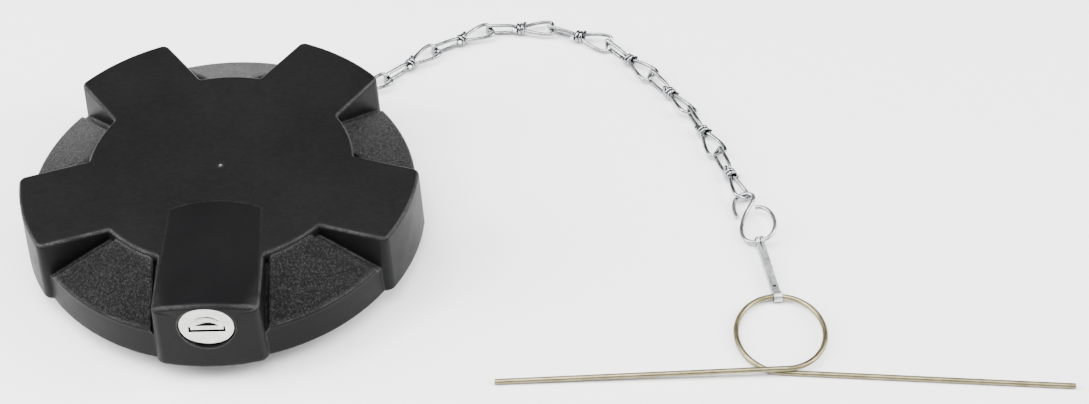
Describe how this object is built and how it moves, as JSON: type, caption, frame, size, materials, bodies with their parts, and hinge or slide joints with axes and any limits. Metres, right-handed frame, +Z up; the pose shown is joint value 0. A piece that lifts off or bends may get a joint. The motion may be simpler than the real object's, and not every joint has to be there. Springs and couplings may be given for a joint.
{
  "type": "lockable filler cap with retaining chain",
  "caption": "Round black filler cap with grip lobes, a key lock in its front lobe, a bayonet core underneath and a knotted wire chain ending in a spring-wire anchor.",
  "frame": {"origin": "on the cap's axis, in the plane of the gasket's lower face, which is the plane of the neck's rim", "axes": "+Z up along the cap axis, out of the filler neck; the lock looks towards -Y; +X to the right seen from the lock"},
  "size_m": [0.3053, 0.1617, 0.0319],
  "materials": {
    "black_plastic": "grained black moulded plastic",
    "dark_plastic": "smooth dark plastic",
    "zinc_steel": "bright zinc-plated steel",
    "zinc_casting": "zinc die casting",
    "spring_steel": "spring steel",
    "rubber": "nitrile rubber",
    "nickel": "satin nickel",
    "brass": "machined brass",
    "chain_zinc": "bright zinc-plated wire",
    "yellow_zinc": "yellow-passivated spring wire"
  },
  "bodies": {
    "core": {"bayonet_core": "zinc_casting", "vent_seal": "rubber", "vent_cage": "dark_plastic", "vent_spring": "spring_steel", "wave_spring": "spring_steel"},
    "knob": {"knob_cover": "black_plastic", "retainer_ring": "dark_plastic", "retainer_screws": "zinc_steel", "lock_housing": "zinc_casting", "lock_pin": "zinc_steel", "bolt_guide": "dark_plastic", "guide_screws": "zinc_steel"},
    "plug": {"lock_plug": "brass", "lock_face": "nickel", "plug_clip": "zinc_steel", "lock_cam": "zinc_casting", "lock_wafers": "brass", "shutter_pin": "zinc_steel", "shutter_spring": "spring_steel"},
    "shutter": {"key_shutter": "nickel"},
    "bolt": {"lock_bolt": "zinc_casting"},
    "seal": {"neck_gasket": "rubber", "pressure_plate": "zinc_steel"},
    "vent": {"vent_disc": "rubber"},
    "swivel": {"chain_swivel": "zinc_casting", "swivel_clip": "zinc_steel", "swivel_washer": "zinc_steel"},
    "chain_link_01": {"chain_link_01": "chain_zinc"},
    "chain_link_02": {"chain_link_02": "chain_zinc"},
    "chain_link_03": {"chain_link_03": "chain_zinc"},
    "chain_link_04": {"chain_link_04": "chain_zinc"},
    "chain_link_05": {"chain_link_05": "chain_zinc"},
    "chain_link_06": {"chain_link_06": "chain_zinc"},
    "chain_link_07": {"chain_link_07": "chain_zinc"},
    "chain_link_08": {"chain_link_08": "chain_zinc"},
    "chain_link_09": {"chain_link_09": "chain_zinc"},
    "chain_link_10": {"chain_link_10": "chain_zinc"},
    "chain_link_11": {"chain_link_11": "chain_zinc"},
    "chain_link_12": {"chain_link_12": "chain_zinc"},
    "s_hook": {"s_hook": "zinc_steel"},
    "strap": {"anchor_strap": "zinc_steel"},
    "anchor": {"wire_anchor": "yellow_zinc"}
  },
  "joints": [
    {"name": "knob_turn", "type": "hinge", "parent": "core", "child": "knob", "pos_m": [0, 0, 0.008], "axis": [0, 0, 1], "continuous": true},
    {"name": "key_turn", "type": "hinge", "parent": "knob", "child": "plug", "pos_m": [0, -0.05, 0.0136], "axis": [0, -1, 0], "range_deg": [0, 90]},
    {"name": "bolt_drop", "type": "slide", "parent": "knob", "child": "bolt", "axis": [0, 0, -1], "range_m": [0, 0.00354]},
    {"name": "shutter_open", "type": "hinge", "parent": "plug", "child": "shutter", "pos_m": [0, -0.0565, 0.0159], "axis": [1, 0, 0], "range_deg": [0, 60], "stiffness_Nm_per_rad": 0.0004, "springref_deg": -28.65},
    {"name": "seal_press", "type": "slide", "parent": "core", "child": "seal", "axis": [0, 0, 1], "range_m": [0, 0.0009], "stiffness_N_per_m": 8000, "springref_m": -0.0005, "deforming": ["wave_spring"]},
    {"name": "vent_open", "type": "slide", "parent": "core", "child": "vent", "axis": [0, 0, -1], "range_m": [0, 0.002], "stiffness_N_per_m": 60, "springref_m": -0.001, "deforming": ["vent_spring"]},
    {"name": "swivel_turn", "type": "hinge", "parent": "core", "child": "swivel", "pos_m": [0, 0, 0.005], "axis": [0, 0, 1], "range_deg": [-10, 12]},
    {"name": "link_01_turn", "type": "hinge", "parent": "swivel", "child": "chain_link_01", "pos_m": [-0.00049, -0.00135, -0.00665], "axis": [0, 0, 1], "range_deg": [-1.5, 10]},
    {"name": "link_02_turn", "type": "hinge", "parent": "chain_link_01", "child": "chain_link_02", "pos_m": [0.00651, 0.01813, -0.00665], "axis": [0, 0, 1], "range_deg": [-1.5, 10]},
    {"name": "link_03_turn", "type": "hinge", "parent": "chain_link_02", "child": "chain_link_03", "pos_m": [0.0161, 0.03649, -0.00665], "axis": [0, 0, 1], "range_deg": [-1.5, 10]},
    {"name": "link_04_turn", "type": "hinge", "parent": "chain_link_03", "child": "chain_link_04", "pos_m": [0.0296, 0.05221, -0.00665], "axis": [0, 0, 1], "range_deg": [-1.5, 10]},
    {"name": "link_05_turn", "type": "hinge", "parent": "chain_link_04", "child": "chain_link_05", "pos_m": [0.04593, 0.06492, -0.00665], "axis": [0.0572, -0.0658, 0.9962], "range_deg": [-1.5, 10]},
    {"name": "link_06_turn", "type": "hinge", "parent": "chain_link_05", "child": "chain_link_06", "pos_m": [0.06147, 0.07862, -0.00665], "axis": [0.0409, -0.077, 0.9962], "range_deg": [-1.5, 10]},
    {"name": "link_07_turn", "type": "hinge", "parent": "chain_link_06", "child": "chain_link_07", "pos_m": [0.07968, 0.08864, -0.00665], "axis": [0, -0.0872, 0.9962], "range_deg": [-1.5, 10]},
    {"name": "link_08_turn", "type": "hinge", "parent": "chain_link_07", "child": "chain_link_08", "pos_m": [0.10044, 0.08891, -0.00665], "axis": [-0.2113, -0.4532, 0.866], "range_deg": [-1.5, 10]},
    {"name": "link_09_turn", "type": "hinge", "parent": "chain_link_08", "child": "chain_link_09", "pos_m": [0.11936, 0.08038, -0.00665], "axis": [-0.0668, -0.056, 0.9962], "range_deg": [-1.5, 10]},
    {"name": "link_10_turn", "type": "hinge", "parent": "chain_link_09", "child": "chain_link_10", "pos_m": [0.13273, 0.06457, -0.00665], "axis": [0.3544, 0.2302, 0.9063], "range_deg": [-1.5, 10]},
    {"name": "link_11_turn", "type": "hinge", "parent": "chain_link_10", "child": "chain_link_11", "pos_m": [0.14413, 0.04727, -0.00665], "axis": [-0.0814, -0.0312, 0.9962], "range_deg": [-1.5, 10]},
    {"name": "link_12_turn", "type": "hinge", "parent": "chain_link_11", "child": "chain_link_12", "pos_m": [0.15159, 0.02796, -0.00665], "axis": [0.4782, 0.1462, 0.866], "range_deg": [-1.5, 10]},
    {"name": "hook_turn", "type": "hinge", "parent": "chain_link_12", "child": "s_hook", "pos_m": [0.15783, 0.00756, -0.00665], "axis": [0, 0, 1], "range_deg": [-1.5, 10]},
    {"name": "strap_lift", "type": "hinge", "parent": "s_hook", "child": "strap", "pos_m": [0.16094, -0.0118, -0.00655], "axis": [0.9903, 0.1392, 0], "range_deg": [-25, 0]},
    {"name": "anchor_turn", "type": "hinge", "parent": "strap", "child": "anchor", "pos_m": [0.164, -0.03359, -0.0073], "axis": [0, 0, 1], "range_deg": [-3, 6]}
  ],
  "couplings": [
    {"joint": "bolt_drop", "follows": "key_turn", "m_per_rad": 0.0022511}
  ]
}
